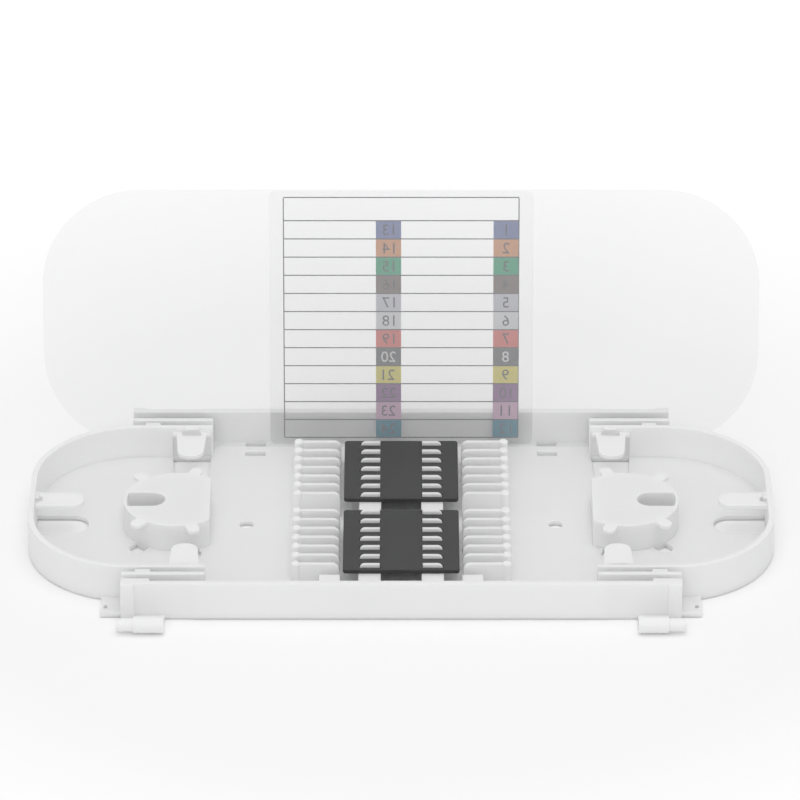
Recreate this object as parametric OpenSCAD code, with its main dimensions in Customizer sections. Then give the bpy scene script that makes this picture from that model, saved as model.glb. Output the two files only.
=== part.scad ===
// Fibre splice tray: a one-piece moulded tray with a storage well at each end, two banks
// of splice slots with foam pads, and a clear lid with a row card, stood in the rear channel.

/* [Tray] */
// Length over the round ends
tray_l = 225; // [220:1:250]
// Width of the wells, over their walls
well_w = 86.6; // [86:0.2:94]
// Outer radius of the wells' corners
corner_r = 32.4; // [28:0.2:36]
// Height of the rim above the table
rim_h = 12; // [11.5:0.25:15]
// Thickness of the wells' walls and the guide bars
wall_t = 1.8; // [1.5:0.1:2.2]
// Thickness of the floor
floor_t = 1.5; // [1.2:0.1:2]

/* [Entry channels] */
// Distance from the middle to the inner ends of the wells' walls
bay_x = 58.2; // [57.6:0.2:60]
// Distance from the middle to the mouths of the channels
mouth_x = 83; // [81:0.2:86]
// Clear width of the inner channel, between well wall and guide bar
inner_gap = 2.5; // [2.2:0.1:3]
// Clear width of the outer channel, between guide bar and side wall
outer_gap = 3.6; // [3:0.1:4]
// Thickness of the long side walls
side_t = 2.1; // [1.8:0.1:2.6]
// Length of the floor lip outside each mouth
lip_l = 6.2; // [4:0.2:8]
// Distance from the middle to the step in each side wall's face
step_x = 61.7; // [60:0.1:66]
// How far the middle of the side walls stands out from their ends
step_out = 0.3; // [0.2:0.1:0.6]
// Height of the middle's lower edge above the table
step_lift = 0.4; // [0.2:0.1:1]
// Width of the corner posts
post_w = 4; // [3:0.2:5]
// How far the corner posts stand out from the side walls
post_out = 1; // [0.6:0.1:1.4]
// Reach of the keepers that close most of each channel
keeper_out = 1.5; // [1:0.1:1.8]
// Width of the keepers
keeper_w = 4.6; // [3:0.1:6]
// Thickness of the keepers
keeper_t = 1; // [0.8:0.1:1.4]

/* [Mandrels] */
// Distance from the middle to a mandrel's centre
mandrel_x = 68.1; // [67.6:0.1:69.5]
// Radius of a mandrel
mandrel_r = 16.1; // [15.4:0.1:16.8]
// Distance from a mandrel's centre to its flat side
flat_x = 10.2; // [9:0.1:11]
// Wall and top thickness of a mandrel
shell_t = 1.5; // [1.2:0.1:2]
// Level of the mandrel tops and tabs, on which the closed lid rests
deck_z = 10.4; // [9.6:0.1:10.6]
// Reach of the ears from a mandrel's centre
ear_reach = 20.4; // [19:0.1:21]
// Width of the ears
ear_w = 3.9; // [3:0.1:4.6]
// Thickness of the ears
ear_t = 1.2; // [1:0.1:1.6]
// Width of the slot through a mandrel's top
eye_w = 8; // [6:0.2:9]
// Length of that slot
eye_l = 11.6; // [9:0.2:13]
// Wall left between the slot and the mandrel's round side
eye_wall = 1.1; // [0.8:0.1:1.4]

/* [Tabs over the wells] */
// Distance from the middle to the side tabs
tab_x = 64.7; // [64:0.1:66]
// Length of the side tabs
tab_l = 15; // [12:0.2:17]
// Width of the side tabs at the wall
tab_root = 9.4; // [8.6:0.1:10]
// Width of the side tabs near the tip
tab_tip = 8; // [7:0.1:8.4]
// Thickness of the tabs
tab_t = 1.3; // [1:0.1:1.6]
// Depth of the recess in the wall under each side tab
recess_d = 0.8; // [0.5:0.1:1]
// Length of the wide plate between the wall and a side tab
root_l = 1.2; // [0.8:0.1:2]
// Width of the slot through that plate
root_slot_w = 5.6; // [4:0.1:6]
// Width of the slot at the root of an end tongue
tongue_slot_w = 2.4; // [2:0.1:3]
// Depth of both slots
slot_d = 2; // [1.6:0.1:2.6]
// Reach of the snap nubs over the closed lid
nub_out = 1.1; // [0.8:0.1:1.3]
// Width of the snap nubs
nub_w = 4; // [3:0.1:5]
// Length of the end tongues
tongue_l = 14.6; // [12:0.2:17]
// Width of the end tongues
tongue_w = 8.2; // [7:0.1:9]
// How far the floor openings below the tabs reach past the tabs
core_gap = 1.2; // [0.8:0.1:1.6]
// How far the floor openings below the ears reach past the ears
ear_core_gap = 0.4; // [0.2:0.1:0.8]

/* [Splice banks] */
// Splice rows in each bank of dividers
rows = 7; // [5:1:7]
// Distance between rows
pitch = 5.3; // [4.8:0.05:5.4]
// Thickness of the dividers
fin_t = 1.3; // [1:0.1:1.5]
// Distance from the middle to the inner ends of the dividers
fin_in = 18.5; // [18.2:0.1:20]
// Distance from the middle to the knobs
knob_x = 31.5; // [29:0.1:33]
// Diameter of the knobs
knob_d = 2.8; // [2.4:0.1:3.2]
// Height of the dividers
fin_z = 9.6; // [9:0.1:10]
// Radius of the dividers' inner top corners
fin_nose = 2; // [1:0.1:3]
// How far the knobs rise above the dividers
knob_rise = 0.5; // [0.2:0.1:0.7]
// Distance from the middle to the inner ends of the teeth
tooth_in = 6.4; // [5.6:0.1:7]
// Length of the teeth
tooth_l = 6; // [5:0.1:7]
// Thickness of the teeth
tooth_t = 1.1; // [0.8:0.1:1.4]
// Radius of the teeth's outer top corners
tooth_nose = 1.6; // [0.8:0.1:2]
// Height of the pads' upper face
pad_z = 8.6; // [7.6:0.1:8.8]
// Thickness of the pads
pad_t = 1.3; // [1:0.1:2]
// How far the teeth rise above the pads
tooth_rise = 0.9; // [0.6:0.1:1.2]
// Half the width of the pads
pad_hx = 17.4; // [16.5:0.1:17.6]
// Room round each tooth in its pad
pad_gap = 0.15; // [0.05:0.05:0.25]
// How far a pad reaches past its first row of teeth, towards the middle
pad_in = 1.4; // [1:0.1:2.6]
// How far a pad reaches past its last row of teeth
pad_out = 1.7; // [1:0.1:3.4]
// Corner radius of the pads
pad_r = 1; // [0.5:0.1:2]
// How far the rails under the pads stand out past the teeth
rail_side = 0.3; // [0.2:0.1:1]
// Distance from the front side wall to the rails
rail_end = 4.5; // [3:0.1:6]
// Width of the stops beyond the front pad
stop_w = 6.2; // [4:0.1:8]
// Height of the low ribs between the knobs
rib_h = 1; // [0.5:0.1:2]

/* [Fixings] */
// Diameter of the screw holes
screw_d = 4.3; // [3.2:0.1:5.3]
// Distance from the middle to a screw hole
screw_x = 46.9; // [44:0.1:50]
// Length of the tie slots
tie_l = 6.2; // [5:0.1:8]
// Width of the tie slots
tie_w = 2.5; // [2:0.1:3]
// Floor left between the side wall and the first tie slot
tie_edge = 0.2; // [0.2:0.1:1]
// Distance between the two tie slots of a pair
tie_step = 5.8; // [4:0.1:8]
// Distance from the middle to a tie slot
tie_x = 45.2; // [44:0.1:52]
// Radius of the hinge barrels
barrel_r = 2.5; // [2.2:0.1:3]
// Radius of the hinge pins at the barrels' outer ends
pin_r = 2; // [1.5:0.1:2.1]
// Length of the hinge pins
pin_l = 5; // [4:0.1:7]
// Length of the hinge barrels
barrel_l = 9; // [7:0.1:12]
// Distance from the side wall's face to the hinge axis
hinge_out = 7.5; // [6:0.1:9]

/* [Lid and card] */
// Thickness of the lid
lid_t = 1; // [0.8:0.1:1.3]
// Room between the closed lid and the walls
lid_gap = 0.3; // [0.2:0.05:0.6]
// Room between the standing lid and what it leans on
seat_gap = 0.1; // [0.05:0.05:0.2]
// Width of the row card
card_w = 81.4; // [76:0.2:90]
// Thickness of the card
card_t = 0.2; // [0.15:0.05:0.3]
// Distance from the lid's long edges to the card
card_edge = 0.5; // [0.3:0.1:2]
// Corner radius of the card
card_r = 2; // [1:0.5:4]
// Width of the coloured number cells
cell_w = 7.8; // [6:0.1:9]
// Width of the blank cells for notes
note_w = 28.4; // [24:0.2:32]
// Height of the card's table
table_h = 77.2; // [72:0.2:78]
// Numbered lines in the table
lines = 12; // [6:1:12]
// Height of the heading, in lines
head_lines = 1.27; // [1:0.01:2]
// Width of the ruled lines
rule_w = 0.35; // [0.3:0.05:0.6]

/* [Hidden] */
$fn = 64;
eps = 0.01;
white = [0.93, 0.93, 0.93];
foam = [0.16, 0.16, 0.17];
clear = [0.86, 0.89, 0.92, 0.45];
film = [1, 1, 1, 0.8];
ink = [0.25, 0.25, 0.28];
print_t = 0.06;         // how far the printed fields stand on the card
joint = 1;              // how far parts of the moulding run into each other
lip_slot = [1, 1.8];    // narrow slot near the outer corner of each floor lip
ear_angles = [72.5, 128.5];
// twelve line colours in the order of the fibre colour code
code = [[0.18, 0.28, 0.62], [0.93, 0.52, 0.25], [0.12, 0.58, 0.35], [0.36, 0.30, 0.27],
        [0.72, 0.72, 0.80], [0.95, 0.95, 0.97], [0.86, 0.24, 0.20], [0.12, 0.12, 0.13],
        [0.93, 0.86, 0.32], [0.52, 0.24, 0.62], [0.88, 0.62, 0.78], [0.08, 0.52, 0.60]];

end_x = tray_l / 2;
end_in = end_x - wall_t;
well_y = well_w / 2;
well_in = well_y - wall_t;
bar_y = well_y + inner_gap;
side_in = bar_y + wall_t + outer_gap;
side_y = side_in + side_t;
bank_y0 = pitch - tooth_t / 2 - pad_in;              // pad edge nearest the middle
bank_y1 = rows * pitch + tooth_t / 2 + pad_out;      // pad edge nearest the side wall
pad_l = bank_y1 - bank_y0;
rail_z = pad_z - pad_t;
knob_z = fin_z + knob_rise;
lid_l = 2 * (end_in - lid_gap);
lid_w = 2 * (well_in - lid_gap);
lid_r = corner_r - wall_t - lid_gap;
stack_t = lid_t + card_t + print_t;

// --- plan shapes -------------------------------------------------------------

module rounded(l, w, r) {
    square([l - 2 * r, w], center = true);
    square([l, w - 2 * r], center = true);
    for (x = [-1, 1], y = [-1, 1]) translate([x * (l / 2 - r), y * (w / 2 - r)]) circle(r);
}

// four copies, one in each corner of the tray
module corners() {
    for (sx = [0, 1], sy = [0, 1]) mirror([sx, 0]) mirror([0, sy]) children();
}

module ends() {
    for (sx = [0, 1]) mirror([sx, 0]) children();
}

// a tongue that grows from the line y = 0 towards -y, w0 wide there and w1 near its round tip
module tongue_plan(l, w0, w1, grow = 0) {
    r = 0.45 * w1;
    translate([0, -l + r]) {
        for (x = [-1, 1]) translate([x * (w1 / 2 - r), 0]) circle(r + grow);
        translate([-w1 / 2 + r, -r - grow]) square([w1 - 2 * r, r + grow]);
    }
    polygon([[-w0 / 2 - grow, 0], [w0 / 2 + grow, 0], [w1 / 2 + grow, -l + r], [-w1 / 2 - grow, -l + r]]);
}

// places a plan shape at a side tab, or at an end tongue
module at_tab() { translate([tab_x, well_in]) children(); }
module at_tongue() { translate([end_in, 0]) rotate(-90) children(); }

module ear_plan(reach, w) {
    for (a = ear_angles, s = [-1, 1]) rotate(s * (180 - a)) {
        translate([mandrel_r - 2 * joint, -w / 2]) square([reach - w / 2 - mandrel_r + 2 * joint, w]);
        translate([reach - w / 2, 0]) circle(d = w);
    }
}

// --- floor ---------------------------------------------------------------------

module floor_plan() {
    rounded(tray_l, well_w, corner_r);
    square([2 * mouth_x, 2 * side_y], center = true);
    corners() translate([mouth_x - joint, 0]) square([lip_l + joint, side_in + side_t / 2]);
}

module floor_cuts() {
    corners() at_tab() tongue_plan(tab_l, tab_root, tab_tip, core_gap);
    ends() at_tongue() tongue_plan(tongue_l, tongue_w, tongue_w, core_gap);
    ends() translate([mandrel_x, 0]) difference() {
        ear_plan(ear_reach + ear_core_gap, ear_w + 2 * ear_core_gap);
        circle(mandrel_r - shell_t / 2);
    }
    ends() translate([screw_x, 0]) circle(d = screw_d);
    corners() for (i = [0, 1])
        translate([tie_x - tie_l / 2, side_in - tie_edge - tie_w - i * tie_step]) square([tie_l, tie_w]);
    corners() translate([mouth_x + lip_l - 2 * lip_slot.x, side_in - 2 * lip_slot.y]) square(lip_slot);
}

module floor_sheet() {
    linear_extrude(floor_t) difference() {
        floor_plan();
        floor_cuts();
    }
}

// --- walls -----------------------------------------------------------------------

module well_walls() {
    translate([0, 0, floor_t - eps]) linear_extrude(rim_h - floor_t + eps) difference() {
        rounded(tray_l, well_w, corner_r);
        rounded(tray_l - 2 * wall_t, well_w - 2 * wall_t, corner_r - wall_t);
        square([2 * bay_x, well_w + joint], center = true);
    }
}

// the wall is thinner under each side tab, as wide as the opening in the floor
module tab_recesses() {
    corners() translate([tab_x - tab_root / 2 - core_gap, well_in - eps, floor_t])
        cube([tab_root + 2 * core_gap, recess_d, deck_z - tab_t - floor_t]);
}

module guide_bars() {
    corners() translate([bay_x, bar_y, floor_t - eps])
        cube([mouth_x - bay_x, wall_t, rim_h - floor_t + eps]);
}

module side_walls() {
    for (sy = [0, 1]) mirror([0, sy]) translate([-mouth_x, side_in, floor_t - eps])
        cube([2 * mouth_x, side_t, rim_h - floor_t + eps]);
    for (sy = [0, 1]) mirror([0, sy]) translate([-step_x, side_y - eps, step_lift])
        cube([2 * step_x, step_out + eps, rim_h - step_lift]);
    corners() translate([mouth_x - post_w, side_in, 0])
        cube([post_w, side_t + post_out, rim_h]);
}

// small covers over the channels, level with the rim, that stop a fibre from rising out
module keeper(x, y, w) {
    translate([x - w, y - eps, rim_h - keeper_t]) cube([w, keeper_out, keeper_t]);
}

module keepers() {
    ends() {
        keeper(mouth_x - post_w, well_y, keeper_w);
        keeper(mouth_x - post_w, -bar_y, keeper_w);
        keeper(mouth_x, -side_in, post_w + keeper_w);
    }
}

// --- tabs ------------------------------------------------------------------------

// a slot in the root of a tab, through which the mould shaped the nub above it
module root_slot(w) {
    translate([-w / 2, -slot_d]) square([w, slot_d]);
}

module tabs() {
    root_w = tab_root + 2 * core_gap;
    translate([0, 0, deck_z - tab_t]) linear_extrude(tab_t) {
        corners() at_tab() difference() {
            union() {
                tongue_plan(tab_l, tab_root, tab_tip);
                translate([-root_w / 2, -root_l]) square([root_w, root_l + wall_t / 2]);
            }
            root_slot(root_slot_w);
        }
        ends() at_tongue() difference() {
            tongue_plan(tongue_l, tongue_w, tongue_w);
            root_slot(tongue_slot_w);
        }
    }
}

// a wedge on the wall's inner face, under which the lid's edge snaps
module nub() {
    lid_top = deck_z + lid_t;
    tip = (rim_h - lid_top) / 2;
    rotate([90, 0, 90]) translate([0, 0, -nub_w / 2]) linear_extrude(nub_w)
        polygon([[eps, rim_h], [-nub_out, rim_h - tip], [-nub_out, rim_h - 1.2 * tip], [-lid_gap, lid_top],
                 [eps, lid_top]]);
}

module nubs() {
    corners() translate([tab_x, well_in, 0]) nub();
    ends() translate([end_in, 0, 0]) rotate(-90) nub();
}

// --- mandrels ----------------------------------------------------------------------

module mandrel_plan(inset = 0) {
    intersection() {
        circle(mandrel_r - inset);
        translate([-flat_x + inset, -mandrel_r]) square([2 * mandrel_r + flat_x, 2 * mandrel_r]);
    }
}

// a slot with one round end, its outer end following the mandrel's wall
module eye_plan(grow = 0) {
    intersection() {
        circle(mandrel_r - eye_wall + grow);
        translate([mandrel_r - eye_wall - eye_l + eye_w / 2, 0]) {
            translate([0, -eye_w / 2 - grow]) square([eye_l, eye_w + 2 * grow]);
            circle(d = eye_w + 2 * grow);
        }
    }
}

// what is open below a mandrel's top: the slot, and the hollow round the slot's own wall
module hollow_plan() {
    eye_plan();
    difference() {
        mandrel_plan(shell_t);
        eye_plan(shell_t);
    }
}

module mandrels() {
    ends() translate([mandrel_x, 0, 0]) difference() {
        union() {
            linear_extrude(deck_z) mandrel_plan();
            translate([0, 0, deck_z - ear_t]) linear_extrude(ear_t) ear_plan(ear_reach, ear_w);
        }
        translate([0, 0, -eps]) linear_extrude(deck_z - shell_t + eps) hollow_plan();
        linear_extrude(deck_z + joint) eye_plan();
    }
}

module mandrel_hollows() {
    ends() translate([mandrel_x, 0, -eps])
        linear_extrude(floor_t + 2 * eps) hollow_plan();
}

// --- splice banks --------------------------------------------------------------------

// an upright blade of length l and height z from the floor, with a round top corner at x = 0
module blade(l, z, nose, t) {
    rotate([90, 0, 0]) translate([0, 0, -t / 2]) linear_extrude(t) {
        translate([0, floor_t - eps]) square([l, z - nose - floor_t + eps]);
        translate([nose, floor_t - eps]) square([l - nose, z - floor_t + eps]);
        translate([nose, z - nose]) circle(nose, $fn = 32);
    }
}

// one divider: a thin fin with a round knob at its outer end
module divider() {
    bevel = knob_rise;
    translate([fin_in, 0, 0]) blade(knob_x - fin_in, fin_z, fin_nose, fin_t);
    translate([knob_x, 0, 0]) {
        cylinder(d = knob_d, h = knob_z - bevel, $fn = 20);
        translate([0, 0, knob_z - bevel - eps])
            cylinder(d1 = knob_d, d2 = knob_d - 2 * bevel, h = bevel + eps, $fn = 20);
    }
}

// one tooth, which comes up through its pad
module tooth() {
    translate([tooth_in + tooth_l, 0, 0]) mirror([1, 0, 0])
        blade(tooth_l, pad_z + tooth_rise, tooth_nose, tooth_t);
}

// the rails that carry the pads, the stops beyond the front pad, and the low ribs between the knobs
module rails() {
    stop_y = bank_y1 + rail_side;
    front_y = side_in - rail_end;
    rail_h = rail_z - floor_t + eps;
    ends() translate([0, 0, floor_t - eps]) {
        translate([tooth_in - rail_side, -front_y, 0])
            cube([tooth_l + 2 * rail_side, front_y + stop_y, rail_h]);
        translate([fin_in - rail_side, -front_y, 0])
            cube([stop_w, front_y - stop_y, rail_h]);
        translate([knob_x - knob_d / 2, -rows * pitch, 0])
            cube([knob_d, 2 * rows * pitch, rib_h + eps]);
    }
}

module splice_banks() {
    rails();
    corners() for (i = [1 : rows]) translate([0, i * pitch, 0]) {
        divider();
        tooth();
    }
}

// --- hinge pins ------------------------------------------------------------------------

module hinges() {
    barrel_x = mouth_x - post_w - barrel_l;
    axis_y = side_y + hinge_out;
    ends() translate([barrel_x, -axis_y, barrel_r]) {
        rotate([0, 90, 0]) cylinder(r = barrel_r, h = barrel_l);
        rotate([0, 90, 0]) cylinder(r = pin_r, h = barrel_l + pin_l);
        translate([0, 0, -barrel_r]) cube([barrel_l, hinge_out, floor_t]);
    }
}

// --- pieces ----------------------------------------------------------------------------

module tray() {
    color(white) difference() {
        union() {
            floor_sheet();
            difference() {
                well_walls();
                tab_recesses();
            }
            guide_bars();
            side_walls();
            keepers();
            tabs();
            nubs();
            mandrels();
            splice_banks();
            hinges();
        }
        mandrel_hollows();
    }
}

// foam pad of one bank, slotted for the teeth that come through it
module pad() {
    color(foam) translate([0, 0, rail_z]) linear_extrude(pad_t) difference() {
        translate([0, (bank_y0 + bank_y1) / 2]) rounded(2 * pad_hx, pad_l, pad_r);
        for (i = [1 : rows], s = [-1, 1]) translate([s * (tooth_in + tooth_l / 2), i * pitch])
            square([tooth_l + 2 * pad_gap, tooth_t + 2 * pad_gap], center = true);
    }
}

module rear_pad() { pad(); }
module front_pad() { mirror([0, 1, 0]) pad(); }

// lean of the standing lid: its foot against the guide bars, its back on the side wall's edge
lean_run = side_in - (bar_y + wall_t + seat_gap);
lean_rise = rim_h - floor_t - seat_gap;
function lean(n = 12, a = 0) = n == 0 ? a
    : lean(n - 1, atan((lean_run - stack_t * cos(a) - seat_gap / cos(a)) / lean_rise));
lid_lean = lean();

// carries the lid's own frame, x along it and y up its face, to where it stands
module standing() {
    translate([0, bar_y + wall_t + seat_gap, floor_t + seat_gap + lid_t * sin(lid_lean)])
        rotate([90 - lid_lean, 0, 0]) translate([0, lid_w / 2, -lid_t]) children();
}

module lid() {
    color(clear) standing() linear_extrude(lid_t) rounded(lid_l, lid_w, lid_r);
}

line_h = table_h / (lines + head_lines);
table_w = 2 * (cell_w + note_w);
cell_x = [table_w / 2 - cell_w, -cell_w];   // left edges of the two columns of coloured cells

module rule_x(y) { translate([-table_w / 2, y - rule_w / 2]) square([table_w, rule_w]); }
module rule_y(x) { translate([x - rule_w / 2, -table_h / 2]) square([rule_w, table_h]); }

// the film on the lid's outer face, with its ruled table and coloured cells
module row_card() {
    standing() translate([0, 0, -card_t]) {
        color(film) linear_extrude(card_t) rounded(card_w, lid_w - 2 * card_edge, card_r);
        translate([0, 0, -print_t]) {
            color(ink) linear_extrude(print_t + eps) {
                rule_x(table_h / 2);
                for (i = [0 : lines]) rule_x(-table_h / 2 + i * line_h);
                for (x = [-table_w / 2, table_w / 2]) rule_y(x);
            }
            for (i = [0 : lines - 1], x = cell_x)
                color(code[i % len(code)])
                    translate([x, -table_h / 2 + (lines - 1 - i) * line_h + rule_w / 2])
                        linear_extrude(print_t + eps) square([cell_w, line_h - rule_w + eps]);
        }
    }
}

tray();
rear_pad();
front_pad();
lid();
row_card();
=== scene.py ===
# %% [markdown]
# # A fibre splice tray, with its lid stood up behind it
# The real thing is one white moulding with two black foam pads pushed over its teeth. Its clear
# lid has been lifted off and stands in the rear channel, with a printed card on its outer face.
# All sizes and places come from the finished frame, so this script only gives the pieces their
# surfaces, their soft edges and their print, and sets them on a white table.

# %% Load the frame
import math

import bmesh
import bpy
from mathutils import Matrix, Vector
from mathutils.bvhtree import BVHTree
from mathutils.kdtree import KDTree


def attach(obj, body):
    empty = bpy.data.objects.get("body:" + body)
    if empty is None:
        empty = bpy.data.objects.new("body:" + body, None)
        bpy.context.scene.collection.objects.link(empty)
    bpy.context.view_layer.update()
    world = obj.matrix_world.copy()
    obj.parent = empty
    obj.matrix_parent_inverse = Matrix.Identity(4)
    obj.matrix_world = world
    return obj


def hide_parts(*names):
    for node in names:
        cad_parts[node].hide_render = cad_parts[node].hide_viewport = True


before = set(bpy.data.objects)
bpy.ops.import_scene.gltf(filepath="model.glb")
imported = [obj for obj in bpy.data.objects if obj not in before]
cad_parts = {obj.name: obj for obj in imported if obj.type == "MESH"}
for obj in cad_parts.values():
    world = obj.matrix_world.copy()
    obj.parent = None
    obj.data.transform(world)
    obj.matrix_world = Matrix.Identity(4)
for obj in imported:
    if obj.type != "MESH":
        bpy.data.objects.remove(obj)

MM = 0.001
scene = bpy.context.scene
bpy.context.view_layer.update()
print("pieces in the frame:", sorted(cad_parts))

# %% [markdown]
# ## The camera
# A long lens from well back keeps the tray's long walls almost parallel, as in a catalogue
# picture. The camera looks down at a bit less than 30 degrees, so the floor of the tray, the rims
# and the whole of the standing lid are in view together.

# %% Place the camera
CAMERA_BACK, CAMERA_UP, CAMERA_SIDE = 1577 * MM, 915.2 * MM, 0.36 * MM
LOOK_DOWN = math.radians(28.9)
LENS = 270
NEAREST, FARTHEST = 0.1, 40

camera = bpy.data.objects.new("camera", bpy.data.cameras.new("camera"))
scene.collection.objects.link(camera)
camera.location = (-CAMERA_SIDE, -CAMERA_BACK, CAMERA_UP)
camera.rotation_euler = (math.pi / 2 - LOOK_DOWN, 0, 0)
camera.data.lens = LENS
camera.data.clip_start, camera.data.clip_end = NEAREST, FARTHEST
scene.camera = camera
print("camera:", LENS, "mm lens,", round(camera.location.length, 3), "m away")

# %% [markdown]
# ## Small helpers for materials
# Each finish is a node tree. Three short helpers keep the trees readable: one starts a material,
# one adds a node with its settings, and one sets plain numbers and colours on a shader's own
# sockets.

# %% Material helpers
def start_material(name):
    material = bpy.data.materials.new(name)
    material.use_nodes = True
    return material, material.node_tree, material.node_tree.nodes["Principled BSDF"]


def add(tree, kind, **settings):
    node = tree.nodes.new("ShaderNode" + kind)
    for key, value in settings.items():
        setattr(node, key, value)
    return node


def put(node, **sockets):
    for key, value in sockets.items():
        node.inputs[key.replace("_", " ")].default_value = value
    return node


print("helpers ready")

# %% [markdown]
# ## Table and background
# The tray stands on white paper that runs on without an edge. The table is a plain white
# surface. Where it is seen, in front of the camera or in a shine, it is topped up a little with
# light of its own. The top-up is small beside the tray, so that the soft shadow there stays, and
# grows with the distance until the paper comes out pure white.

# %% Make the table and the white surroundings
TABLE_SIDE = 8.0
TABLE_DROP = 0.25 * MM
PAPER = 0.93
NEAR, FAR = 0.14, 0.5
TOP_UP_NEAR, TOP_UP_FAR = 0.11, 0.5
AMBIENT = 0.62


def seen_directly(tree):
    path = add(tree, "LightPath")
    either = add(tree, "Math", operation="MAXIMUM")
    both = add(tree, "Math", operation="MAXIMUM")
    tree.links.new(path.outputs["Is Camera Ray"], either.inputs[0])
    tree.links.new(path.outputs["Is Glossy Ray"], either.inputs[1])
    tree.links.new(either.outputs[0], both.inputs[0])
    tree.links.new(path.outputs["Is Transmission Ray"], both.inputs[1])
    return both.outputs[0]


def make_table():
    mesh = bpy.data.meshes.new("table")
    half = TABLE_SIDE / 2
    square = [(-half, -half), (half, -half), (half, half), (-half, half)]
    corners = [(x, y, -TABLE_DROP) for x, y in square]
    mesh.from_pydata(corners, [], [(0, 1, 2, 3)])
    table = bpy.data.objects.new("table", mesh)
    scene.collection.objects.link(table)
    paper, tree, shader = start_material("white_paper")
    put(shader, Base_Color=(PAPER, PAPER, PAPER, 1), Roughness=0.9, Emission_Color=(1, 1, 1, 1))
    shader.inputs["Specular IOR Level"].default_value = 0
    away = add(tree, "VectorMath", operation="LENGTH")
    tree.links.new(add(tree, "TexCoord").outputs["Object"], away.inputs[0])
    fade = put(add(tree, "MapRange"), From_Min=NEAR, From_Max=FAR,
               To_Min=TOP_UP_NEAR, To_Max=TOP_UP_FAR)
    tree.links.new(away.outputs["Value"], fade.inputs["Value"])
    amount = add(tree, "Math", operation="MULTIPLY")
    tree.links.new(fade.outputs["Result"], amount.inputs[1])
    tree.links.new(seen_directly(tree), amount.inputs[0])
    tree.links.new(amount.outputs[0], shader.inputs["Emission Strength"])
    mesh.materials.append(paper)


def make_surroundings():
    world = bpy.data.worlds.new("white_room")
    scene.world = world
    world.use_nodes = True
    tree = world.node_tree
    background = tree.nodes["Background"]
    background.inputs["Color"].default_value = (1, 1, 1, 1)
    strength = add(tree, "MapRange")
    put(strength, To_Min=AMBIENT, To_Max=1.0)
    tree.links.new(seen_directly(tree), strength.inputs["Value"])
    tree.links.new(strength.outputs["Result"], background.inputs["Strength"])


make_table()
make_surroundings()
scene.view_settings.view_transform = "Standard"
print("table", TABLE_SIDE, "m wide, ambient", AMBIENT)

# %% [markdown]
# ## Lamps
# White plastic shows its form only through soft differences in grey. A wide lamp in front and
# above lights the floors and the front faces about equally, and one almost straight above brings
# out the rims. Both are large, so no shadow has a hard edge.

# %% Hang the lamps
def soft_lamp(name, place, size, power):
    lamp = bpy.data.lights.new(name, "AREA")
    lamp.shape, lamp.size, lamp.energy = "SQUARE", size, power
    holder = bpy.data.objects.new(name, lamp)
    scene.collection.objects.link(holder)
    holder.location = place
    holder.rotation_euler = (-Vector(place)).to_track_quat("-Z", "Y").to_euler()
    holder.visible_camera = False


soft_lamp("front_lamp", (-0.2, -1.7, 1.15), 1.3, 6)
soft_lamp("top_lamp", (0.1, -0.1, 1.9), 1.6, 8.4)

# %% [markdown]
# ## A grain that several finishes share
# Moulded plastic, foam, film and ink are never quite even. One node group makes a mask with fine
# specks over slow, broad mottling, and a height for the bump. Each material places it with its
# own grain size.

# %% Build the shared grain
MOTTLE_SCALE = 28


def add_group_ends(group):
    return {"in": group.nodes.new("NodeGroupInput"), "out": group.nodes.new("NodeGroupOutput")}


def add_input(group, name, value):
    socket = group.interface.new_socket(name, in_out="INPUT", socket_type="NodeSocketFloat")
    socket.default_value = value


def add_output(group, name):
    group.interface.new_socket(name, in_out="OUTPUT", socket_type="NodeSocketFloat")


def build_grain():
    group = bpy.data.node_groups.new("surface_grain", "ShaderNodeTree")
    add_input(group, "Grain Size", 1)
    add_input(group, "Mottle", 0.5)
    add_output(group, "Mask")
    add_output(group, "Height")
    inside = add_group_ends(group)
    place = add(group, "TexCoord")
    per_metre = add(group, "Math", operation="DIVIDE")
    per_metre.inputs[0].default_value = 1 / MM
    group.links.new(inside["in"].outputs["Grain Size"], per_metre.inputs[1])
    specks = put(add(group, "TexNoise"), Detail=3, Roughness=0.6)
    broad = put(add(group, "TexNoise"), Scale=MOTTLE_SCALE, Detail=2)
    for texture in (specks, broad):
        group.links.new(place.outputs["Object"], texture.inputs["Vector"])
    group.links.new(per_metre.outputs[0], specks.inputs["Scale"])
    blend = add(group, "Mix", data_type="FLOAT")
    group.links.new(inside["in"].outputs["Mottle"], blend.inputs["Factor"])
    group.links.new(specks.outputs["Fac"], blend.inputs["A"])
    group.links.new(broad.outputs["Fac"], blend.inputs["B"])
    group.links.new(blend.outputs["Result"], inside["out"].inputs["Mask"])
    group.links.new(specks.outputs["Fac"], inside["out"].inputs["Height"])
    return group


def use_group(tree, group, **values):
    node = add(tree, "Group")
    node.node_tree = group
    return put(node, **values)


def between(tree, mask, low, high):
    span = put(add(tree, "MapRange"), From_Min=0.3, From_Max=0.7, To_Min=low, To_Max=high)
    tree.links.new(mask, span.inputs["Value"])
    return span.outputs["Result"]


def shade(tree, mask, dark, light):
    mix = add(tree, "Mix", data_type="RGBA")
    mix.inputs["A"].default_value = (*dark, 1)
    mix.inputs["B"].default_value = (*light, 1)
    tree.links.new(between(tree, mask, 0, 1), mix.inputs["Factor"])
    return mix.outputs["Result"]


def bump(tree, shader, height, depth, strength=0.5):
    node = put(add(tree, "Bump"), Strength=strength, Distance=depth)
    tree.links.new(height, node.inputs["Height"])
    tree.links.new(node.outputs["Normal"], shader.inputs["Normal"])


grain = build_grain()
print("grain group outputs:", [s.name for s in grain.interface.items_tree if s.in_out == "OUTPUT"])

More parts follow.
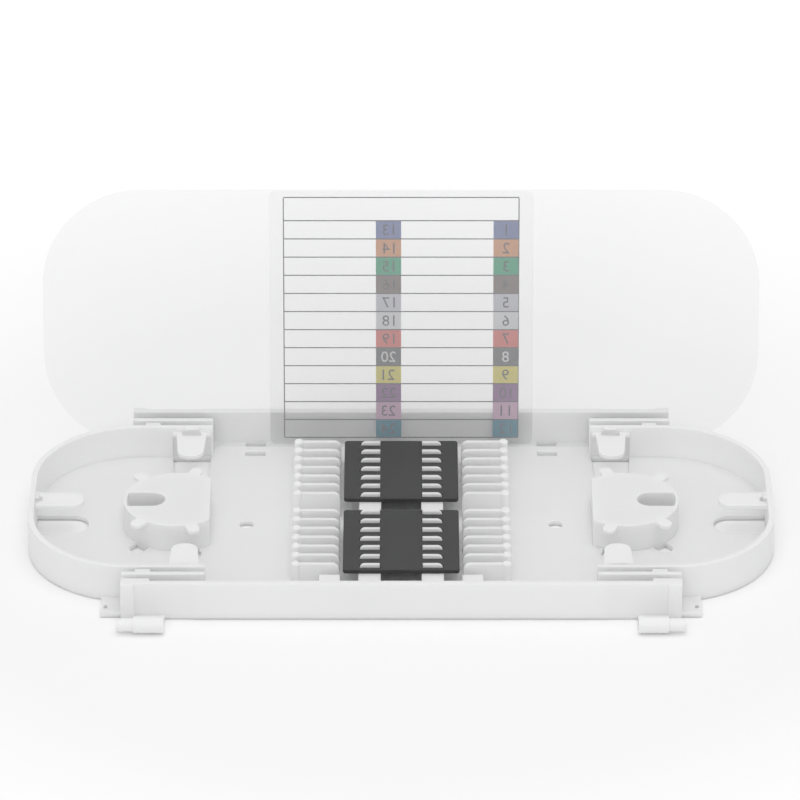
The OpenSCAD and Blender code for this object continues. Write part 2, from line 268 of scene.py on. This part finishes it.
# %% [markdown]
# ## White moulded plastic
# Trays like this are injection moulded in white ABS. The mould is finely spark-eroded, so the
# plastic is satin and not glossy, with a faint grain. A little light enters the thin walls, which
# lifts their shaded sides.

# %% Mix the tray's plastic
TRAY_WHITE = (0.885, 0.885, 0.888), (0.915, 0.915, 0.917)


def white_plastic():
    material, tree, shader = start_material("white_moulded_plastic")
    surface = use_group(tree, grain, Grain_Size=0.45, Mottle=0.6)
    mask, height = surface.outputs["Mask"], surface.outputs["Height"]
    tree.links.new(shade(tree, mask, *TRAY_WHITE), shader.inputs["Base Color"])
    tree.links.new(between(tree, mask, 0.4, 0.5), shader.inputs["Roughness"])
    bump(tree, shader, height, 0.012 * MM)
    put(shader, IOR=1.52, Subsurface_Weight=0.6, Subsurface_Scale=2.5 * MM)
    shader.inputs["Subsurface Radius"].default_value = (1, 1, 1)
    return material


plastic = white_plastic()
print("made", plastic.name)

# %% [markdown]
# ## Black foam
# The pads are die-cut from closed-cell foam rubber. It is matt and nearly black, and its cut
# cells make small pits of a few tenths of a millimetre.

# %% Mix the foam
FOAM_BLACK = (0.022, 0.022, 0.023), (0.036, 0.036, 0.038)
CELL_SIZE = 0.35 * MM


def black_foam():
    material, tree, shader = start_material("black_foam_rubber")
    surface = use_group(tree, grain, Grain_Size=0.3, Mottle=0.35)
    mask = surface.outputs["Mask"]
    cells = put(add(tree, "TexVoronoi"), Scale=1 / CELL_SIZE)
    place = add(tree, "TexCoord")
    tree.links.new(place.outputs["Object"], cells.inputs["Vector"])
    pits = add(tree, "Math", operation="MULTIPLY")
    tree.links.new(cells.outputs["Distance"], pits.inputs[0])
    tree.links.new(surface.outputs["Height"], pits.inputs[1])
    tree.links.new(shade(tree, mask, *FOAM_BLACK), shader.inputs["Base Color"])
    tree.links.new(between(tree, mask, 0.6, 0.8), shader.inputs["Roughness"])
    bump(tree, shader, pits.outputs[0], 0.06 * MM)
    put(shader, Sheen_Weight=0.08, Sheen_Roughness=0.6)
    return material


foam = black_foam()
print("made", foam.name)

# %% [markdown]
# ## Clear sheet for the lid
# The lid is thin clear plastic, so one mostly sees what is behind it. A low alpha lets the
# background through, and the little that stays gives the sheet its faint grey. Clear plastic
# throws almost no shadow, so light from a lamp meets less than a third of that alpha.

# %% Mix the clear plastic
LID_GREY = (0.74, 0.745, 0.75), (0.79, 0.795, 0.80)
LID_ALPHA = 0.1
SHADOW_SHARE = 0.3


def let_light_through(tree, shader, alpha):
    """Sets the alpha, and makes the sheet's shadow much paler than the sheet."""
    shadow = put(add(tree, "MapRange"), To_Min=alpha, To_Max=SHADOW_SHARE * alpha)
    tree.links.new(add(tree, "LightPath").outputs["Is Shadow Ray"], shadow.inputs["Value"])
    tree.links.new(shadow.outputs["Result"], shader.inputs["Alpha"])


def clear_plastic():
    material, tree, shader = start_material("clear_lid_plastic")
    surface = use_group(tree, grain, Grain_Size=3.0, Mottle=0.9)
    mask = surface.outputs["Mask"]
    tree.links.new(shade(tree, mask, *LID_GREY), shader.inputs["Base Color"])
    tree.links.new(between(tree, mask, 0.08, 0.14), shader.inputs["Roughness"])
    put(shader, IOR=1.49)
    let_light_through(tree, shader, LID_ALPHA)
    return material


clear = clear_plastic()
print("made", clear.name)

# %% [markdown]
# ## Soft edges
# No moulded edge is sharp: the mould's own edges are rounded by a tenth or two of a millimetre,
# and that thin roll of light draws the whole tray. Each solid's mesh is copied, its flat faces
# are joined up again, and every real edge is bevelled. Where a few features crowd together a
# bevel would fold over itself, so the corners that cause it are found and left crisp.

# %% Round the edges of the moulded pieces
SHARP = math.radians(38)
FLAT = math.radians(0.5)
ROUNDS = 8
SAME_POINT, SAME_BEVEL_POINT = 0.001 * MM, 0.002 * MM
TRAY_EDGE, PAD_EDGE, LID_EDGE = 0.16 * MM, 0.25 * MM, 0.15 * MM


def bevelled(base, crisp, width, segments):
    bm = base.copy()
    bm.verts.ensure_lookup_table()
    edges = [e for e in bm.edges if e.is_manifold and e.calc_face_angle() > SHARP
             and not any(v.index in crisp for v in e.verts)]
    bmesh.ops.bevel(bm, geom=edges, offset=width, offset_type="OFFSET", segments=segments,
                    profile=0.5, affect="EDGES", clamp_overlap=False)
    bmesh.ops.remove_doubles(bm, verts=bm.verts, dist=SAME_BEVEL_POINT)
    return bm


def crowded(bm, base_tree, width):
    """Numbers of the base's corners that lie next to faces which cut through each other."""
    tree = BVHTree.FromBMesh(bm)
    bm.faces.ensure_lookup_table()
    folded = {face for pair in tree.overlap(tree) for face in pair}
    found = set()
    for face in folded:
        for vert in bm.faces[face].verts:
            for _, index, distance in base_tree.find_range(vert.co, 3 * width):
                found.add(index)
    return found


def softened(node, name, width, material, segments=2):
    base = bmesh.new()
    base.from_mesh(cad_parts[node].data)
    bmesh.ops.remove_doubles(base, verts=base.verts, dist=SAME_POINT)
    bmesh.ops.dissolve_limit(base, angle_limit=FLAT, verts=base.verts, edges=base.edges)
    base.verts.index_update()
    base_tree = KDTree(len(base.verts))
    for vert in base.verts:
        base_tree.insert(vert.co, vert.index)
    base_tree.balance()
    crisp = set()
    for _ in range(ROUNDS):
        bm = bevelled(base, crisp, width, segments)
        more = crowded(bm, base_tree, width) - crisp
        if not more:
            break
        crisp |= more
    for face in bm.faces:
        face.smooth = True
        face.material_index = 0
    for edge in bm.edges:
        edge.smooth = not edge.is_manifold or edge.calc_face_angle() < SHARP
    mesh = bpy.data.meshes.new(name)
    bm.to_mesh(mesh)
    mesh.materials.append(material)
    piece = bpy.data.objects.new(name, mesh)
    scene.collection.objects.link(piece)
    weighted = piece.modifiers.new("even_shading", "WEIGHTED_NORMAL")
    weighted.keep_sharp = True
    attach(piece, "root")
    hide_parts(node)
    print(name, "has", len(mesh.polygons), "faces;", len(crisp), "of", len(base.verts),
          "corners stay crisp")
    return piece


softened("tray", "moulded_tray", TRAY_EDGE, plastic)
pads = [softened(node, "foam_" + node, PAD_EDGE, foam)
        for node in ("rear_pad", "front_pad")]
softened("lid", "clear_lid", LID_EDGE, clear)

# %% [markdown]
# ## The lid's own plane
# The card and its print lie on the outer face of the leaning lid. The largest face of the lid
# gives the direction out of that face, and the direction up the face follows from it. With the
# two, a point on the card is written as: across, up the face, and depth behind it.

# %% Find the plane of the lid's outer face
def broad_normal(obj):
    largest = max(obj.data.polygons, key=lambda face: face.area)
    return largest.normal if largest.normal.y > 0 else -largest.normal


OUT = broad_normal(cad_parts["lid"]).normalized()
UP = Vector((0, -OUT.z, OUT.y))
card_points = [v.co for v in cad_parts["row_card"].data.vertices]
CARD_X = max(p.x for p in card_points)
up_face = [p.dot(UP) for p in card_points]
through = [p.dot(OUT) for p in card_points]
CARD_LOW, CARD_HIGH = min(up_face), max(up_face)
CARD_FRONT, CARD_BACK = min(through), max(through)
PRINT_ROOM = 0.06 * MM
FILM_BACK = CARD_BACK - PRINT_ROOM
MIDDLE = (CARD_LOW + CARD_HIGH) / 2


def on_card(across, height, depth):
    """A point measured from the card's middle, with depth behind the film's back face."""
    return Vector((across, 0, 0)) + UP * (MIDDLE + height) + OUT * (FILM_BACK + depth)


print("lid leans", round(math.degrees(math.asin(-OUT.z)), 2), "degrees; card",
      round(2 * CARD_X / MM, 1), "x", round((CARD_HIGH - CARD_LOW) / MM, 1), "mm")

# %% [markdown]
# ## The card's film
# The card is printed on a thin satin film, whiter and hazier than the clear lid, with rounded
# corners. Its outline is walked once round and lifted into a thin closed sheet.

# %% Make the film
CARD_R = 2.0 * MM
CORNER_STEPS = 8
GLUE = 0.01 * MM
FILM_WHITE = (0.80, 0.80, 0.81), (0.85, 0.85, 0.86)
FILM_ALPHA = 0.07


def satin_film():
    material, tree, shader = start_material("satin_card_film")
    surface = use_group(tree, grain, Grain_Size=0.8, Mottle=0.8)
    mask = surface.outputs["Mask"]
    tree.links.new(shade(tree, mask, *FILM_WHITE), shader.inputs["Base Color"])
    tree.links.new(between(tree, mask, 0.42, 0.55), shader.inputs["Roughness"])
    bump(tree, shader, surface.outputs["Height"], 0.01 * MM)
    put(shader, IOR=1.5)
    let_light_through(tree, shader, FILM_ALPHA)
    return material


def new_piece(name, mesh):
    piece = bpy.data.objects.new(name, mesh)
    scene.collection.objects.link(piece)
    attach(piece, "root")
    return piece


def rounded_outline(half_x, half_y, radius):
    points = []
    for quarter, (sx, sy) in enumerate([(1, 1), (-1, 1), (-1, -1), (1, -1)]):
        for step in range(CORNER_STEPS + 1):
            angle = math.pi / 2 * (quarter + step / CORNER_STEPS)
            points.append((sx * (half_x - radius) + radius * math.cos(angle),
                           sy * (half_y - radius) + radius * math.sin(angle)))
    return points


def sheet_mesh(name, outline, depth_a, depth_b):
    """A closed thin sheet over an outline, between two depths behind the film."""
    bm = bmesh.new()
    rings = [[bm.verts.new(on_card(x, y, depth)) for x, y in outline]
             for depth in (depth_a, depth_b)]
    for ring in rings:
        bm.faces.new(ring)
    for i in range(len(outline)):
        j = (i + 1) % len(outline)
        bm.faces.new((rings[0][i], rings[0][j], rings[1][j], rings[1][i]))
    bmesh.ops.recalc_face_normals(bm, faces=bm.faces)
    mesh = bpy.data.meshes.new(name)
    bm.to_mesh(mesh)
    bm.free()
    return mesh


film_mesh = sheet_mesh("card_film", rounded_outline(CARD_X, (CARD_HIGH - CARD_LOW) / 2, CARD_R),
                       CARD_FRONT - FILM_BACK + GLUE, 0)
film_mesh.materials.append(satin_film())
film = new_piece("card_film", film_mesh)
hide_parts("row_card")
print("film is", round((FILM_BACK - CARD_FRONT) / MM, 2), "mm thick")

# %% [markdown]
# ## The ruled table
# The print is a table of twelve lines under a heading, with two columns of coloured cells. It is
# printed on the back of the film and seen through it, so from the front everything is mirrored.
# Each ruled line is a very thin bar of ink, so that it still shows in a close view.

# %% Print the ruled lines
LINES = 12
TABLE_H = 77.2 * MM
HEADING = 1.27
CELL_W, NOTE_W = 7.8 * MM, 28.4 * MM
RULE = 0.35 * MM
INK_START, INK_T = 0.005 * MM, 0.04 * MM
TABLE_W = 2 * (CELL_W + NOTE_W)
LINE_H = TABLE_H / (LINES + HEADING)
CELL_EDGES = (TABLE_W / 2 - CELL_W, -CELL_W)


def ink(name, colour):
    material, tree, shader = start_material(name)
    surface = use_group(tree, grain, Grain_Size=0.25, Mottle=0.4)
    thin = tuple(c + 0.04 * (1 - c) for c in colour)
    tree.links.new(shade(tree, surface.outputs["Mask"], colour, thin), shader.inputs["Base Color"])
    tree.links.new(between(tree, surface.outputs["Mask"], 0.45, 0.6), shader.inputs["Roughness"])
    return material


def bars_mesh(name, bars):
    """Thin boxes on the back of the film; each bar is left, right, bottom, top, and its finish."""
    bm = bmesh.new()
    for left, right, bottom, top, finish in bars:
        corners = [(left, bottom), (right, bottom), (right, top), (left, top)]
        near, far = [[bm.verts.new(on_card(x, y, depth)) for x, y in corners]
                     for depth in (INK_START, INK_START + INK_T)]
        sides = [(near[i], near[i - 3], far[i - 3], far[i]) for i in range(4)]
        faces = [near[::-1], far] + sides
        for face in faces:
            bm.faces.new(face).material_index = finish
    bmesh.ops.recalc_face_normals(bm, faces=bm.faces)
    mesh = bpy.data.meshes.new(name)
    bm.to_mesh(mesh)
    bm.free()
    return mesh


def across(y):
    return (-TABLE_W / 2, TABLE_W / 2, y - RULE / 2, y + RULE / 2, 0)


def upright(x):
    return (x - RULE / 2, x + RULE / 2, -TABLE_H / 2 + RULE / 2, TABLE_H / 2 - RULE / 2, 0)


lines = [across(TABLE_H / 2)] + [across(-TABLE_H / 2 + i * LINE_H) for i in range(LINES + 1)]
rules_mesh = bars_mesh("card_rules", lines + [upright(-TABLE_W / 2), upright(TABLE_W / 2)])
rules_mesh.materials.append(ink("grey_ink", (0.16, 0.16, 0.18)))
new_piece("card_rules", rules_mesh)
print("ruled lines:", len(lines), "across,", round(LINE_H / MM, 2), "mm apart")

# %% [markdown]
# ## The coloured cells
# Fibres are told apart by twelve standard colours, always in the same order, and the card
# repeats that order in both columns. The inks are thin, so they are paler than the full colours.

# %% Print the coloured cells
FIBRE_COLOURS = {
    "blue": (0.25, 0.30, 0.57), "orange": (0.90, 0.45, 0.24), "green": (0.05, 0.49, 0.28),
    "brown": (0.29, 0.23, 0.22), "slate": (0.78, 0.78, 0.86), "white": (0.95, 0.95, 0.97),
    "red": (0.91, 0.24, 0.21), "black": (0.21, 0.21, 0.22), "yellow": (0.95, 0.84, 0.21),
    "violet": (0.38, 0.19, 0.41), "rose": (0.80, 0.51, 0.70), "aqua": (0.01, 0.26, 0.38)}


def cell_bottom(line):
    return -TABLE_H / 2 + (LINES - 1 - line) * LINE_H


def cell(line, left):
    bottom = cell_bottom(line)
    return (left, left + CELL_W, bottom + RULE / 2, bottom + LINE_H - RULE / 2, line)


cells = [cell(line, left) for line in range(LINES) for left in CELL_EDGES]
cells_mesh = bars_mesh("card_colours", cells)
for colour_name, colour in FIBRE_COLOURS.items():
    cells_mesh.materials.append(ink(colour_name + "_ink", colour))
new_piece("card_colours", cells_mesh)
print("coloured cells:", len(cells))

# %% [markdown]
# ## The numbers
# Each cell carries its plain number, 1 to 24. They are set as type and turned so that they read
# from behind the lid. Each is laid twice, just in front of the coloured ink and just behind it,
# so that it shows from both sides.

# %% Print the numbers
DIGIT_H = 3.4 * MM
DIGIT_DEPTHS = (0.002 * MM, INK_T + 0.008 * MM)
WHITE_DIGITS_LINE = 7


def number_mesh(text):
    curve = bpy.data.curves.new("number", "FONT")
    curve.body = text
    curve.size = 1
    curve.align_x, curve.align_y = "CENTER", "CENTER"
    curve.resolution_u = 4
    holder = bpy.data.objects.new("number", curve)
    mesh = holder.to_mesh().copy()
    holder.to_mesh_clear()
    bpy.data.objects.remove(holder)
    bpy.data.curves.remove(curve)
    return mesh


def span(values):
    low, high = min(values), max(values)
    return high - low, (high + low) / 2


def print_numbers():
    bm = bmesh.new()
    for column, left in enumerate(CELL_EDGES):
        for line in range(LINES):
            flat = number_mesh(str(1 + line + LINES * column))
            _, mid_x = span([v.co.x for v in flat.vertices])
            tall, mid_y = span([v.co.y for v in flat.vertices])
            size = DIGIT_H / tall
            centre_x, centre_y = left + CELL_W / 2, cell_bottom(line) + LINE_H / 2
            finish = 1 if line == WHITE_DIGITS_LINE else 0
            for depth in DIGIT_DEPTHS:
                verts = [bm.verts.new(on_card(centre_x - (v.co.x - mid_x) * size,
                                              centre_y + (v.co.y - mid_y) * size, depth))
                         for v in flat.vertices]
                for polygon in flat.polygons:
                    bm.faces.new([verts[i] for i in polygon.vertices]).material_index = finish
            bpy.data.meshes.remove(flat)
    mesh = bpy.data.meshes.new("card_numbers")
    bm.to_mesh(mesh)
    bm.free()
    return mesh


numbers_mesh = print_numbers()
numbers_mesh.materials.append(ink("number_ink", (0.14, 0.14, 0.16)))
numbers_mesh.materials.append(ink("white_number_ink", (0.96, 0.96, 0.97)))
new_piece("card_numbers", numbers_mesh)
print("numbers have", len(numbers_mesh.polygons), "faces")
